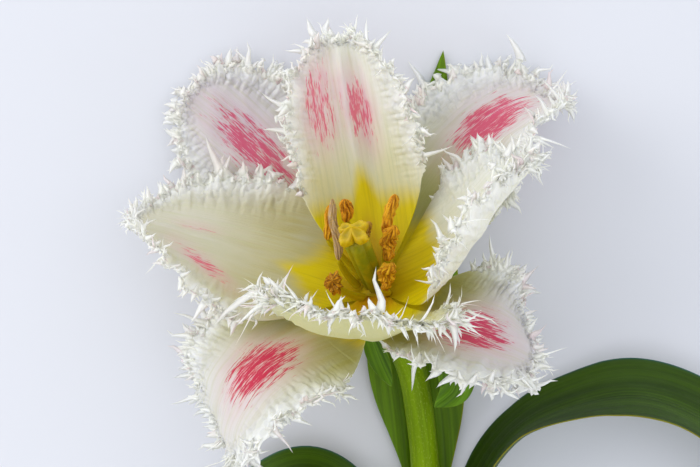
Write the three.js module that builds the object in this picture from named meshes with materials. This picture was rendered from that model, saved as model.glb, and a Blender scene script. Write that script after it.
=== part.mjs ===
// Cut fringed tulip lying on a table. Millimetres, +Z up off the table, flower end toward +Y.
// The stem lies along Y. Its neck bends up, so the open flower faces up and a little toward +Y.
import * as THREE from 'three';

// Flower pose: where the stem meets the petals, and how the flower axis leans from straight up.
const flowerBaseHeight = 28;
const flowerLean = 38;
const flowerSway = -14;

// Clearances and sheet thicknesses.
const seatGap = 0.5;
const petalThickness = 0.8;
const leafThickness = 0.9;
const claspGap = 0.35;

// Stem.
const stemRadius = 4.4;
const stemTopRadius = 4.2;
const stemSides = 16;
const stemSteps = 44;
const stemEndY = -285;
const neckStart = 9;

// Receptacle: the swollen stem top that carries the petals, an ellipsoid on the flower axis.
const receptacleDrop = 3.4;
const receptacleRadius = 5;
const receptacleHalfHeight = 4.6;

// Petal outline and grid.
const petalRows = 28;
const petalColumns = [0, 0.45, 0.85, 1];
const footShare = 0.93;
const toothDepth = 2.2;
const innerClaw = 3.6;
const outerClaw = 4.4;

// Eight petals. azimuth, swing, roll, open and cup are degrees; length, half width and seat are mm.
// open is the angle from the flower axis along the petal, cup the half turn of its cross curve
// at the base, middle and tip on the left and right side.
const petals = {
  inner_petal_top: {
    seat: 0, claw: innerClaw, azimuth: 91, length: 68, halfWidth: 20, widest: 0.5, blunt: 2.8,
    open: [71, 57, 20, 56], cupLeft: [28, 71, 40], cupRight: [22, 37, 53], roll: 0, swing: -3,
  },
  inner_petal_left: {
    seat: -1.4, claw: innerClaw, azimuth: 164, length: 66.5, halfWidth: 25.5, widest: 0.52, blunt: 2.5,
    open: [70, 68, 61, 66], cupLeft: [25, 10, 44], cupRight: [22, 29, 4], roll: 28, swing: 5,
  },
  inner_petal_front: {
    seat: 0, claw: innerClaw, azimuth: 268, length: 68.5, halfWidth: 26, widest: 0.67, blunt: 2.9,
    open: [73, 50, 15, 22], cupLeft: [12, 35, -9], cupRight: [25, 62, 22], roll: -33, swing: 28.5,
  },
  inner_petal_right: {
    seat: 0, claw: innerClaw, azimuth: 1, length: 57, halfWidth: 24.5, widest: 0.53, blunt: 2.6,
    open: [76, 62, 10, 85], cupLeft: [8, 12, -3], cupRight: [8, 62, 85], roll: -25, swing: 28,
  },
  outer_petal_upper_left: {
    seat: -3.4, claw: outerClaw, azimuth: 119, length: 80, halfWidth: 20, widest: 0.58, blunt: 2.6,
    open: [85, 74, 49, 61], cupLeft: [8, -4, 0], cupRight: [10, 20, 21], roll: -13, swing: 27,
  },
  outer_petal_lower_left: {
    seat: -3.4, claw: outerClaw, azimuth: 217, length: 62.5, halfWidth: 26.5, widest: 0.57, blunt: 2.7,
    open: [83, 39, 77, 168], cupLeft: [10, -8, 20], cupRight: [10, 2, -9], roll: 29, swing: 19,
  },
  outer_petal_lower_right: {
    seat: -3.4, claw: outerClaw, azimuth: 316, length: 51, halfWidth: 22, widest: 0.61, blunt: 2.8,
    open: [83, 41, 80, 144], cupLeft: [5, 6, -12], cupRight: [10, 37, -7], roll: -24, swing: 30,
  },
  outer_petal_upper_right: {
    seat: -4.8, claw: outerClaw, azimuth: 58, length: 75.5, halfWidth: 24.5, widest: 0.58, blunt: 2.4,
    open: [84, 59, 58, 124], cupLeft: [5, 20, 32], cupRight: [10, 7, 49], roll: -19, swing: -40,
  },
};

// Pistil and stamens.
const ovaryFoot = 1.8;
const ovaryTop = 22.8;
const ovaryRadius = 3.4;
const ovaryFootRadius = 2.5;
const ovaryRidge = 0.1;
const stigmaHeight = 5;
const stigmaReach = 4.8;
const stigmaNotch = 2.4;
const filamentSeat = 1.9;
const filamentRing = 5;
const filamentRadius = 1.1;
const antherRadius = 1.6;
const partGap = 0.35;

// Stamens round the pistil. azimuth is where the filament stands on its ring, joint where it meets
// the anther and tip the anther's end: across, back and along the flower axis.
const stamens = [
  { azimuth: 15, joint: [5.6, 0.3, 11], tip: [10.3, 4.8, 20] },
  { azimuth: 50, joint: [6.2, 6, 15], tip: [12, 10.6, 26] },
  { azimuth: 82, joint: [0.8, 6.2, 14], tip: [3, 7.4, 20] },
  { azimuth: 112, joint: [-3.2, 9.6, 19], tip: [-2.2, 11.6, 26] },
  { azimuth: 140, joint: [-10.2, 8, 14], tip: [-6.9, 12.6, 23.5] },
  { azimuth: 172, joint: [-6.8, 0, 14.5], tip: [-5, 10, 29] },
  { azimuth: 228, joint: [-9, -5.5, 11], tip: [-8, -8.6, 17] },
  { azimuth: 318, joint: [3.6, -5.6, 6], tip: [8.4, -3.4, 14] },
];

// Leaves. path is the midrib over the table, roll turns the blade about it, cup is the half turn of
// its cross curve: stations are at the base, quarter, half, three quarters and tip.
const claspRadius = stemRadius + claspGap + leafThickness / 2;
const sheathLift = 0.75;
const stemAxisHeight = claspRadius + leafThickness / 2 + sheathLift;
const neckLeafHeight = flowerBaseHeight - 14;
const leafColumns = [0, 0.34, 0.67, 1];
const leaves = {
  back_leaf: {
    path: [[15.5, -72, 0.9], [15.8, -60, 0.8], [14.8, -42, 0.7], [12.5, -22, 1.2], [11.5, 5, 1.4],
      [13.5, 32, 1], [19, 58, 0.7], [20.5, 69, 0.6]],
    halfWidth: 14.5, widest: 0.36, taper: 1.05, claspTurn: 50,
    roll: [0, 0], cup: [50, 20, 8, 7, 6, 6, 5, 4, 4], rows: 22,
  },
  right_leaf: {
    path: [[15 + claspRadius, -118, stemAxisHeight], [15.1 + claspRadius, -106, stemAxisHeight],
      [18.2 + claspRadius, -88, stemAxisHeight + 1.6], [23.4 + claspRadius, -70, stemAxisHeight + 4.4],
      [26.8 + claspRadius, -55, stemAxisHeight + 6.1], [41.5, -42, 14.5], [56, -34.5, 16], [76, -31, 17],
      [97, -39, 15.5], [116, -58, 11], [129, -84, 5.2], [134, -104, 2]],
    halfWidth: 13.5, widest: 0.5, taper: 1.3, claspTurn: 100,
    roll: [-90, -84, -80, -77, -58, -50, -46, -36, -20],
    cup: [96, 54, 34, 28, 25, 22, 18, 12, 8], rows: 26,
  },
  left_leaf: {
    path: [[13.7 - claspRadius, -146, stemAxisHeight], [14.2 - claspRadius, -134, stemAxisHeight],
      [11.2 - claspRadius, -116, stemAxisHeight + 2], [5.7 - claspRadius, -96, stemAxisHeight + 4.6],
      [0.2 - claspRadius, -77, stemAxisHeight + 6.6], [-11, -63, 14.6], [-20, -58, 15.5], [-32, -64, 15],
      [-45, -84, 10.5], [-54, -108, 5], [-58, -127, 2]],
    halfWidth: 14, widest: 0.5, taper: 1.3, claspTurn: 100,
    roll: [90, 76, 62, 52, 48, 46, 44, 36, 20],
    cup: [96, 54, 36, 28, 25, 22, 18, 12, 8], rows: 26,
  },
  neck_leaf_left: {
    path: [[-2.5, -10, neckLeafHeight - 0.5], [-0.5, -16, neckLeafHeight - 0.6],
      [2.2, -23, neckLeafHeight - 1], [5, -29, neckLeafHeight - 0.6]],
    halfWidth: 3.4, widest: 0.45, taper: 1.2, claspTurn: 20,
    roll: [55, 40, 20, 10, 0], cup: [20, 25, 25, 20, 10], rows: 12,
  },
  neck_leaf_right: {
    path: [[14.2, -14, neckLeafHeight], [17.5, -17.5, neckLeafHeight + 0.6],
      [22.5, -23, neckLeafHeight + 1], [23, -29.5, neckLeafHeight + 1], [17.2, -35, neckLeafHeight + 0.4]],
    halfWidth: 6, widest: 0.5, taper: 1.1, claspTurn: 20,
    roll: [-60, -40, -20, -10, -5], cup: [20, 30, 30, 20, 10], rows: 14,
  },
};

const rad = THREE.MathUtils.degToRad;
const up = new THREE.Vector3(0, 0, 1);

// Flower frame: axis, side toward +X and back toward +Y.
const flowerAxis = new THREE.Vector3(
  Math.sin(rad(flowerSway)),
  Math.cos(rad(flowerSway)) * Math.sin(rad(flowerLean)),
  Math.cos(rad(flowerSway)) * Math.cos(rad(flowerLean)),
);
const flowerSide = new THREE.Vector3(1, 0, 0).addScaledVector(flowerAxis, -flowerAxis.x).normalize();
const flowerBack = new THREE.Vector3().crossVectors(flowerAxis, flowerSide);
const flowerFrame = new THREE.Matrix4()
  .makeBasis(flowerSide, flowerBack, flowerAxis)
  .setPosition(0, 0, flowerBaseHeight);

// Straight-line reading of evenly spaced stations at 0..1.
function station(values, u) {
  const at = Math.min(Math.max(u, 0), 1) * (values.length - 1);
  const i = Math.min(Math.floor(at), values.length - 2);
  return values[i] + (values[i + 1] - values[i]) * (at - i);
}

// Cubic Bernstein curve through four control angles.
function bernstein(c, u) {
  const v = 1 - u;
  return c[0] * v ** 3 + 3 * c[1] * u * v * v + 3 * c[2] * u * u * v + c[3] * u ** 3;
}

// Radius of the receptacle at a height above the flower base.
function receptacleAt(height) {
  const share = (height + receptacleDrop) / receptacleHalfHeight;
  return receptacleRadius * Math.sqrt(Math.max(0, 1 - share * share));
}

// Closed skin over rings of points that run counter-clockwise about the direction of travel.
function skin(rings) {
  const n = rings[0].length;
  const points = rings.flat();
  const index = [];
  for (let i = 0; i + 1 < rings.length; i += 1) {
    for (let j = 0; j < n; j += 1) {
      const a = i * n + j;
      const b = i * n + ((j + 1) % n);
      index.push(a, b, b + n, a, b + n, a + n);
    }
  }
  const middle = (ring) => ring.reduce((s, p) => s.add(p), new THREE.Vector3()).divideScalar(n);
  const foot = points.push(middle(rings[0])) - 1;
  const head = points.push(middle(rings[rings.length - 1])) - 1;
  const last = (rings.length - 1) * n;
  for (let j = 0; j < n; j += 1) {
    index.push(foot, (j + 1) % n, j, head, last + j, last + ((j + 1) % n));
  }
  return solid(points, index);
}

function solid(points, index) {
  const geometry = new THREE.BufferGeometry().setFromPoints(points);
  geometry.setIndex(index);
  geometry.computeVertexNormals();
  return geometry;
}

// Closed sheet of even thickness about a middle surface. rim[i] is the left margin at row i and the
// row's foot on the midrib. The right margin mirrors it and the last row folds onto the midrib.
function sheet(surface, rim, columns, thickness) {
  const half = columns.length - 1;
  const width = 2 * half + 1;
  const rows = rim.length - 1;
  const count = rows * width + half + 1;
  const id = (i, j) => i * width + (i === rows ? Math.min(j, 2 * half - j) : j);
  const faces = [[], []];
  const step = 0.05;
  for (let i = 0; i <= rows; i += 1) {
    const [along, across, foot] = rim[i];
    for (let j = 0; j < (i === rows ? half + 1 : width); j += 1) {
      const share = columns[Math.abs(j - half)];
      const x = foot + (along - foot) * share;
      const y = across * share * Math.sign(j - half);
      const p = surface(x, y);
      const dx = surface(x + step, y).sub(surface(x - step, y));
      const dy = surface(x, y + step).sub(surface(x, y - step));
      const normal = dx.cross(dy).normalize();
      faces[0].push(p.clone().addScaledVector(normal, thickness / 2));
      faces[1].push(p.addScaledVector(normal, -thickness / 2));
    }
  }
  const index = [];
  for (let i = 0; i < rows; i += 1) {
    for (let j = 0; j < 2 * half; j += 1) {
      const q = [id(i, j), id(i + 1, j), id(i + 1, j + 1), id(i, j + 1)];
      index.push(q[0], q[1], q[2], q[0], q[2], q[3]);
      index.push(count + q[0], count + q[2], count + q[1], count + q[0], count + q[3], count + q[2]);
    }
  }
  const edge = [];
  for (let i = 0; i <= rows; i += 1) edge.push(id(i, 0));
  for (let i = rows - 1; i >= 0; i -= 1) edge.push(id(i, 2 * half));
  for (let j = 2 * half - 1; j > 0; j -= 1) edge.push(id(0, j));
  edge.forEach((a, k) => {
    const b = edge[(k + 1) % edge.length];
    index.push(b, a, count + a, b, count + a, count + b);
  });
  return solid([...faces[0], ...faces[1]], index);
}

// Even steps along an outline from the base to the tip: along, across and the row's foot on the
// midrib. Every other step is pushed out as a tooth.
function outline(length, halfWidthAt, rows, tooth) {
  const fine = [];
  let run = 0;
  for (let k = 0; k <= 400; k += 1) {
    const p = new THREE.Vector2(length * (k / 400), halfWidthAt(k / 400));
    if (k > 0) run += p.distanceTo(fine[k - 1].p);
    fine.push({ p, run });
  }
  const rim = [];
  for (let i = 0; i <= rows; i += 1) {
    const want = (run * i) / rows;
    const k = Math.min(Math.max(1, fine.findIndex((f) => f.run >= want - 1e-6)), 400);
    const a = fine[k - 1];
    const b = fine[k];
    const p = a.p.clone().lerp(b.p, Math.min(1, (want - a.run) / (b.run - a.run)));
    const out = b.p.clone().sub(a.p).normalize();
    const push = i % 2 && i > rows * 0.28 && i < rows ? tooth : 0;
    rim.push([p.x - out.y * push, p.y + out.x * push, p.x * footShare]);
  }
  rim[0] = [0, halfWidthAt(0), 0];
  rim[rows] = [length + tooth / 2, 0, length * footShare];
  return rim;
}

// Point on a blade: a midrib point moved along the arc of the blade's cross curve.
function onBlade(mid, lateral, normal, turn, halfWidth, y) {
  const k = Math.sign(turn || 1) * Math.max(Math.abs(turn), 0.02) / halfWidth;
  const side = Math.sin(k * Math.abs(y)) / k * Math.sign(y);
  return mid.clone().addScaledVector(lateral, side).addScaledVector(normal, (1 - Math.cos(k * y)) / k);
}

// Middle surface of a petal in the flower frame, from its opening, swing, roll and cup.
function petalSurface(p, halfWidthAt) {
  const steps = 160;
  const reach = 1.1;
  const start = receptacleAt(p.seat) + seatGap;
  const heading = (u) => {
    const a = rad(bernstein(p.open, u));
    const z = rad(p.azimuth + p.swing * u ** 1.5);
    return new THREE.Vector3(Math.sin(a) * Math.cos(z), Math.sin(a) * Math.sin(z), Math.cos(a));
  };
  const mids = [new THREE.Vector3(
    start * Math.cos(rad(p.azimuth)), start * Math.sin(rad(p.azimuth)), p.seat)];
  for (let k = 1; k <= steps; k += 1) {
    const u = ((k - 0.5) / steps) * reach;
    mids.push(mids[k - 1].clone().addScaledVector(heading(u), (p.length * reach) / steps));
  }
  return (x, y) => {
    const u = Math.max(x / p.length, 0);
    const at = Math.min((u / reach) * steps, steps - 1e-6);
    const k = Math.floor(at);
    const mid = mids[k].clone().lerp(mids[k + 1], at - k);
    if (x < 0) mid.addScaledVector(heading(0), x);
    const z = rad(p.azimuth + p.swing * u ** 1.5);
    const flat = new THREE.Vector3(-Math.sin(z), Math.cos(z), 0);
    const inward = heading(u).cross(flat).normalize();
    const roll = rad(p.roll * u ** 1.5);
    const lateral = flat.clone().multiplyScalar(Math.cos(roll)).addScaledVector(inward, Math.sin(roll));
    const normal = inward.clone().multiplyScalar(Math.cos(roll)).addScaledVector(flat, -Math.sin(roll));
    const turn = rad(station(y < 0 ? p.cupRight : p.cupLeft, u));
    const w = Math.max(halfWidthAt(u), 0.4 * p.halfWidth);
    return onBlade(mid, lateral, normal, turn, w, y).applyMatrix4(flowerFrame);
  };
}

function petal(p) {
  const halfWidthAt = (u) => {
    const rise = p.claw + (p.halfWidth - p.claw) * Math.sin((Math.PI / 2) * Math.min(u / p.widest, 1));
    const fall = Math.max(0, (u - p.widest) / (1 - p.widest));
    return rise * Math.sqrt(Math.max(0, 1 - fall ** p.blunt));
  };
  const rim = outline(p.length, halfWidthAt, petalRows, toothDepth);
  return sheet(petalSurface(p, halfWidthAt), rim, petalColumns, petalThickness);
}

// Leaf: a lance-shaped sheet whose base curls round the stem.
function leaf(p) {
  const curve = new THREE.CatmullRomCurve3(p.path.map((q) => new THREE.Vector3(...q)), false, 'centripetal');
  const length = curve.getLength();
  const claspWidth = rad(p.claspTurn) * claspRadius;
  const baseWidth = Math.min(claspWidth, p.halfWidth * 0.85);
  const halfWidthAt = (u) => {
    if (u < p.widest) {
      return baseWidth + (p.halfWidth - baseWidth) * Math.sin((Math.PI / 2) * (u / p.widest)) ** 2;
    }
    return p.halfWidth * Math.cos((Math.PI / 2) * ((u - p.widest) / (1 - p.widest))) ** (1 / p.taper);
  };
  const surface = (x, y) => {
    const u = x / length;
    const t = Math.min(Math.max(u, 0), 1);
    const tangent = curve.getTangentAt(t);
    const mid = curve.getPointAt(t).addScaledVector(tangent, (u - t) * length);
    const left = new THREE.Vector3().crossVectors(up, tangent).normalize();
    const face = new THREE.Vector3().crossVectors(tangent, left);
    const roll = rad(station(p.roll, t));
    const lateral = left.clone().multiplyScalar(Math.cos(roll)).addScaledVector(face, Math.sin(roll));
    const normal = face.clone().multiplyScalar(Math.cos(roll)).addScaledVector(left, -Math.sin(roll));
    const reach = Math.max(halfWidthAt(t), 0.4 * p.halfWidth);
    return onBlade(mid, lateral, normal, rad(station(p.cup, t)), reach, y);
  };
  return sheet(surface, outline(length, halfWidthAt, p.rows, 0), leafColumns, leafThickness);
}

// Ring of points about an axis, with its radius given by angle.
function ring(centre, side, back, sides, radiusAt) {
  return Array.from({ length: sides }, (_, j) => {
    const a = (2 * Math.PI * j) / sides;
    const r = radiusAt(a);
    return centre.clone().addScaledVector(side, r * Math.cos(a)).addScaledVector(back, r * Math.sin(a));
  });
}

// Upright round body in the flower frame: heights and a radius by height share and angle.
function post(foot, axis, height, steps, sides, radiusAt) {
  const side = new THREE.Vector3(0, 1, 0).cross(axis).normalize();
  const back = axis.clone().cross(side);
  const rings = [];
  for (let i = 0; i <= steps; i += 1) {
    const t = i / steps;
    const centre = foot.clone().addScaledVector(axis, height * t);
    const round = ring(centre, side, back, sides, (a) => radiusAt(t, a));
    rings.push(round.map((p) => p.applyMatrix4(flowerFrame)));
  }
  return skin(rings);
}

// The stem runs from the receptacle down the bent neck, past the leaf sheaths and out to the cut end.
function stem() {
  const sheathEnd = -150;
  const toEnd = (share) => sheathEnd + (stemEndY - sheathEnd) * share;
  const stemTop = -receptacleDrop - receptacleHalfHeight - partGap;
  const top = new THREE.Vector3(0, 0, stemTop).applyMatrix4(flowerFrame);
  const down = flowerAxis.clone().negate();
  const path = [
    top,
    top.clone().addScaledVector(down, neckStart),
    new THREE.Vector3(10.6, -24, 9.4),
    new THREE.Vector3(13.6, -40, 6.4),
    new THREE.Vector3(15.3, -60, stemAxisHeight),
    new THREE.Vector3(15.3, -80, stemAxisHeight),
    new THREE.Vector3(15, -110, stemAxisHeight),
    new THREE.Vector3(14, sheathEnd, stemAxisHeight),
    new THREE.Vector3(11.4, toEnd(1 / 3), stemRadius + 0.5),
    new THREE.Vector3(6, toEnd(0.7), stemRadius),
    new THREE.Vector3(0, toEnd(1), stemRadius),
  ];
  const curve = new THREE.CatmullRomCurve3(path, false, 'centripetal');
  const rings = [];
  for (let i = 0; i <= stemSteps; i += 1) {
    const t = i / stemSteps;
    const tangent = curve.getTangentAt(t);
    const side = new THREE.Vector3().crossVectors(tangent, up).normalize();
    const back = new THREE.Vector3().crossVectors(side, tangent).negate();
    const r = stemTopRadius + (stemRadius - stemTopRadius) * Math.min(1, t * 3);
    rings.push(ring(curve.getPointAt(t), side, back, stemSides, () => r));
  }
  return skin(rings);
}

function receptacle() {
  const foot = new THREE.Vector3(0, 0, -receptacleDrop - receptacleHalfHeight);
  return post(foot, new THREE.Vector3(0, 0, 1), 2 * receptacleHalfHeight, 8, 16, (t) => {
    const share = 2 * t - 1;
    return receptacleRadius * Math.sqrt(Math.max(0.02, 1 - share * share));
  });
}

function ovary() {
  const foot = new THREE.Vector3(0, 0, ovaryFoot);
  return post(foot, new THREE.Vector3(0, 0, 1), ovaryTop - ovaryFoot, 6, 16, (t, a) => {
    const r = ovaryFootRadius + (ovaryRadius - ovaryFootRadius) * Math.sin((Math.PI / 2) * t);
    return r * (1 + ovaryRidge * Math.cos(4 * a));
  });
}

// Four lobes: the reach swings between a notch and a lobe four times round.
function stigma() {
  const foot = new THREE.Vector3(0, 0, ovaryTop + partGap);
  return post(foot, new THREE.Vector3(0, 0, 1), stigmaHeight, 7, 24, (t, a) => {
    const swell = Math.sqrt(Math.max(0.05, 1 - (2 * t - 1) ** 2));
    const lobe = Math.abs(Math.sin(2 * a)) ** 0.8;
    return swell * (stigmaNotch + (stigmaReach - stigmaNotch) * lobe);
  });
}

// The filament runs from its ring to the joint, and the anther on from there after a small gap.
function filament({ azimuth, joint }) {
  const a = rad(azimuth);
  const foot = new THREE.Vector3(filamentRing * Math.cos(a), filamentRing * Math.sin(a), filamentSeat);
  const run = new THREE.Vector3(...joint).sub(foot);
  const length = run.length();
  return post(foot, run.normalize(), length, 4, 8, (t) => filamentRadius * (1 - 0.45 * t));
}

function anther({ joint, tip }) {
  const run = new THREE.Vector3(...tip).sub(new THREE.Vector3(...joint));
  const length = run.length() - partGap;
  const axis = run.normalize();
  const start = new THREE.Vector3(...joint).addScaledVector(axis, partGap);
  return post(start, axis, length, 7, 10, (t, a) => {
    const swell = Math.sqrt(Math.max(0.06, 1 - Math.abs(2 * t - 1) ** 2.6));
    return antherRadius * swell * (0.82 + 0.18 * Math.cos(2 * a + 2 * t));
  });
}

const group = new THREE.Group();
group.name = 'tulip';

function add(name, geometry, colour) {
  const mesh = new THREE.Mesh(geometry, new THREE.MeshStandardMaterial({ color: colour, roughness: 0.6 }));
  mesh.name = name;
  group.add(mesh);
}

add('stem', stem(), '#7f9a3c');
add('receptacle', receptacle(), '#9aa63c');
Object.entries(petals).forEach(([name, p]) => add(name, petal(p), '#ece9dc'));
add('ovary', ovary(), '#a9ad2e');
add('stigma', stigma(), '#e0c81e');
stamens.forEach((stamen, i) => {
  add(`filament_${i + 1}`, filament(stamen), '#b9b02c');
  add(`anther_${i + 1}`, anther(stamen), '#c98a1c');
});
Object.entries(leaves).forEach(([name, p]) => add(name, leaf(p), '#4f7a2c'));

// Origin at the middle of the underside.
const box = new THREE.Box3().setFromObject(group, true);
const shift = new THREE.Vector3((box.min.x + box.max.x) / 2, (box.min.y + box.max.y) / 2, box.min.z);
group.children.forEach((mesh) => mesh.geometry.translate(-shift.x, -shift.y, -shift.z));

export default group;
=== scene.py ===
# A cut fringed tulip lying on a pale table: petals, stamens, pistil, stem and leaves.
import bpy
import math
import numpy as np
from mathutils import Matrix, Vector


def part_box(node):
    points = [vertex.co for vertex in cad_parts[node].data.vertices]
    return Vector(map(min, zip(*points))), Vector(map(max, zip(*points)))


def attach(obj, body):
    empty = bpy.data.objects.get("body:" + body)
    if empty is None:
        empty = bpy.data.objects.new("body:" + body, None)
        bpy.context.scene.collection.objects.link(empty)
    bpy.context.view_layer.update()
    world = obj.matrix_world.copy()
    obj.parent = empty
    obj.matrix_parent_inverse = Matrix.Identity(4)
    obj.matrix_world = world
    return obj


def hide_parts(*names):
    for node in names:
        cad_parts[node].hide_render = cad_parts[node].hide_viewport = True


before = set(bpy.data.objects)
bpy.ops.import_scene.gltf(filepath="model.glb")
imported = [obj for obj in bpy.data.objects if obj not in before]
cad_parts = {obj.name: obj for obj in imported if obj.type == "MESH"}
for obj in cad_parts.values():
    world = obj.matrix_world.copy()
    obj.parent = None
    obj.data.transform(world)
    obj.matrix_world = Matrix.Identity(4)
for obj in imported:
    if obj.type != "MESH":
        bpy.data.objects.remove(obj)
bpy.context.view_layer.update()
print("frame loaded")

mm = 0.001

# Where the flower is: the receptacle is round, so its box centre lies on the flower axis.
pose = {"lean": 38.0, "sway": -14.0, "heartHeight": 28.0, "tableClear": 0.05}
receptacle = {"drop": 3.4, "halfHeight": 4.6, "radius": 5.0, "foot": -8.3, "top": 1.15, "swell": 0.8,
              "dark": "#a08c08", "light": "#b89c0c"}
lean, sway = math.radians(pose["lean"]), math.radians(pose["sway"])
axis = np.array([math.sin(sway), math.cos(sway) * math.sin(lean), math.cos(sway) * math.cos(lean)])
side = np.array([1.0, 0.0, 0.0]) - axis * axis[0]
side /= np.linalg.norm(side)
back = np.cross(axis, side)
low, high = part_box("receptacle")
heart = np.array((low + high) / 2) / mm + axis * receptacle["drop"]  # where the petals meet, mm


def toRow(points):
    # flower frame to the part's frame: heart + across * side + back * back + up * axis
    p = np.asarray(points, float)
    return heart + p[..., :1] * side + p[..., 1:2] * back + p[..., 2:3] * axis


def fromTable(points):
    # measured from the spot on the table under the heart
    return np.asarray(points, float) + heart - np.array([0, 0, pose["heartHeight"]])


def smooth(a, b, x):
    # 0 before a, 1 after b, an S curve 3t^2 - 2t^3 between
    t = np.clip((x - a) / (b - a), 0, 1)
    return t * t * (3 - 2 * t)


def station(values, u):
    # straight lines between evenly spaced values at 0..1
    return np.interp(np.clip(u, 0, 1), np.linspace(0, 1, len(values)), values)


def unit(v):
    # each vector over its own length
    return v / np.maximum(np.linalg.norm(v, axis=-1, keepdims=True), 1e-9)


def bernstein(c, u):
    # cubic curve through four control values
    return c[0] * (1 - u) ** 3 + 3 * c[1] * u * (1 - u) ** 2 + 3 * c[2] * u * u * (1 - u) + c[3] * u ** 3


def waves(s, lengths, seed):
    # mean of sine waves of the given lengths in mm, each with its own slow change of strength
    r = np.random.default_rng(seed)
    total = np.zeros_like(s)
    for length in lengths:
        phase, slow, slowPhase = r.uniform(0, 6.28), r.uniform(2.3, 4.1) * length, r.uniform(0, 6.28)
        swing = 0.6 + 0.4 * np.sin(2 * np.pi * s / slow + slowPhase)
        total += np.sin(2 * np.pi * s / length + phase) * swing
    return total / len(lengths)


def curvePath(points, count):
    # centripetal Catmull-Rom curve, then even steps along its length: places, tangents and length
    p = np.asarray(points, float)
    p = np.vstack([2 * p[0] - p[1], p, 2 * p[-1] - p[-2]])
    gap = np.linalg.norm(np.diff(p, axis=0), axis=1)[:, None] ** 0.5
    a, b, c, d = p[:-3], p[1:-2], p[2:-1], p[3:]
    g0, g1, g2 = gap[:-2], gap[1:-1], gap[2:]
    m1 = ((b - a) / g0 - (c - a) / (g0 + g1) + (c - b) / g1) * g1
    m2 = ((c - b) / g1 - (d - b) / (g1 + g2) + (d - c) / g2) * g1
    t = np.linspace(0, 1, 80, endpoint=False)[None, :, None]
    m1, m2, b, c = m1[:, None], m2[:, None], b[:, None], c[:, None]
    line = b + m1 * t + (3 * (c - b) - 2 * m1 - m2) * t ** 2 + (2 * (b - c) + m1 + m2) * t ** 3
    line = np.vstack([line.reshape(-1, 3), p[-2]])
    run = np.concatenate([[0], np.cumsum(np.linalg.norm(np.diff(line, axis=0), axis=1))])
    want = np.linspace(0, run[-1], count + 1)
    even = np.stack([np.interp(want, run, line[:, k]) for k in range(3)], -1)
    return even, unit(np.gradient(even, axis=0)), run[-1]


def vertexNormals(points, quads):
    # mean of the face normals round each point
    a, b, c, d = (points[quads[:, k]] for k in range(4))
    n = np.cross(c - a, d - b)
    out = np.zeros_like(points)
    for k in range(4):
        np.add.at(out, quads[:, k], n)
    return unit(out)


def makePiece(name, points, quads, tris, node, material, uv=None, values=None):
    # points in mm in the part's frame; quads and tris index them; uv and values are one per point
    mesh = bpy.data.meshes.new(name)
    points = np.array(points)
    points[:, 2] = np.maximum(points[:, 2], pose["tableClear"])  # nothing dips into the table
    quads = np.asarray(quads, np.int32).reshape(-1, 4)
    tris = np.asarray(tris, np.int32).reshape(-1, 3)
    loops = np.concatenate([quads.ravel(), tris.ravel()])
    starts = np.concatenate([np.arange(len(quads)) * 4, len(quads) * 4 + np.arange(len(tris)) * 3])
    mesh.vertices.add(len(points))
    mesh.vertices.foreach_set("co", (points * mm).astype(np.float32).ravel())
    mesh.loops.add(len(loops))
    mesh.loops.foreach_set("vertex_index", loops.astype(np.int32))
    mesh.polygons.add(len(starts))
    mesh.polygons.foreach_set("loop_start", starts.astype(np.int32))
    mesh.polygons.foreach_set("use_smooth", np.ones(len(starts), bool))
    if uv is not None:
        layer = mesh.uv_layers.new(name="blade")
        layer.data.foreach_set("uv", uv[loops].astype(np.float32).ravel())
    for key, data in (values or {}).items():
        mesh.attributes.new(key, "FLOAT", "POINT").data.foreach_set("value", data.astype(np.float32))
    mesh.update()
    mesh.validate()
    mesh.materials.append(material)
    piece = bpy.data.objects.new(name, mesh)
    bpy.context.scene.collection.objects.link(piece)
    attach(piece, "root")
    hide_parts(node)
    return piece


def skin(rings):
    # rings (rows, around, 3) counter-clockwise about the way they run, with a fan at each end
    rows, around = rings.shape[:2]
    i, j = np.meshgrid(np.arange(rows - 1), np.arange(around), indexing="ij")
    a, b = i * around + j, i * around + (j + 1) % around
    quads = np.stack([a, b, b + around, a + around], -1).reshape(-1, 4)
    points = np.vstack([rings.reshape(-1, 3), rings[0].mean(0), rings[-1].mean(0)])
    k = np.arange(around)
    last = (rows - 1) * around
    foot = np.stack([np.full(around, rows * around), (k + 1) % around, k], -1)
    head = np.stack([np.full(around, rows * around + 1), last + k, last + (k + 1) % around], -1)
    return points, quads, np.vstack([foot, head])


def perPoint(grid):
    # values on the rings, then one for each end point of the fans
    return np.concatenate([grid.ravel(), [grid[0].mean(), grid[-1].mean()]])


def tube(line, radius, sides, seedSide=(1.0, 0.0, 0.0)):
    # rings round a line: radius is an array (rows, sides); the frame is turned along, never twisted
    tangent = unit(np.gradient(line, axis=0))
    first = np.asarray(seedSide, float)
    a = unit(first - tangent * (tangent @ first)[:, None])
    b = np.cross(tangent, a)
    angle = np.arange(sides) / sides * 2 * np.pi
    spoke = a[:, None] * np.cos(angle)[None, :, None] + b[:, None] * np.sin(angle)[None, :, None]
    return line[:, None] + spoke * radius[..., None]


def bladeGrid(rows, columns):
    # rows from the base to the tip, columns from the right margin to the left; the last row folds
    # onto the midrib, so the tip closes. Also gives the points in order round the edge.
    half = len(columns) - 1
    width = 2 * half + 1
    i, j = np.meshgrid(np.arange(rows), np.arange(2 * half), indexing="ij")

    def index(i, j):
        return i * width + np.where(i == rows, np.minimum(j, 2 * half - j), j)
    corners = [index(i, j), index(i + 1, j), index(i + 1, j + 1), index(i, j + 1)]
    up, across = np.arange(rows), np.arange(2 * half - 1, 0, -1)
    edge = np.concatenate([up * width, [rows * width], up[::-1] * width + 2 * half, across])
    return np.stack(corners, -1).reshape(-1, 4), edge


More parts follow.
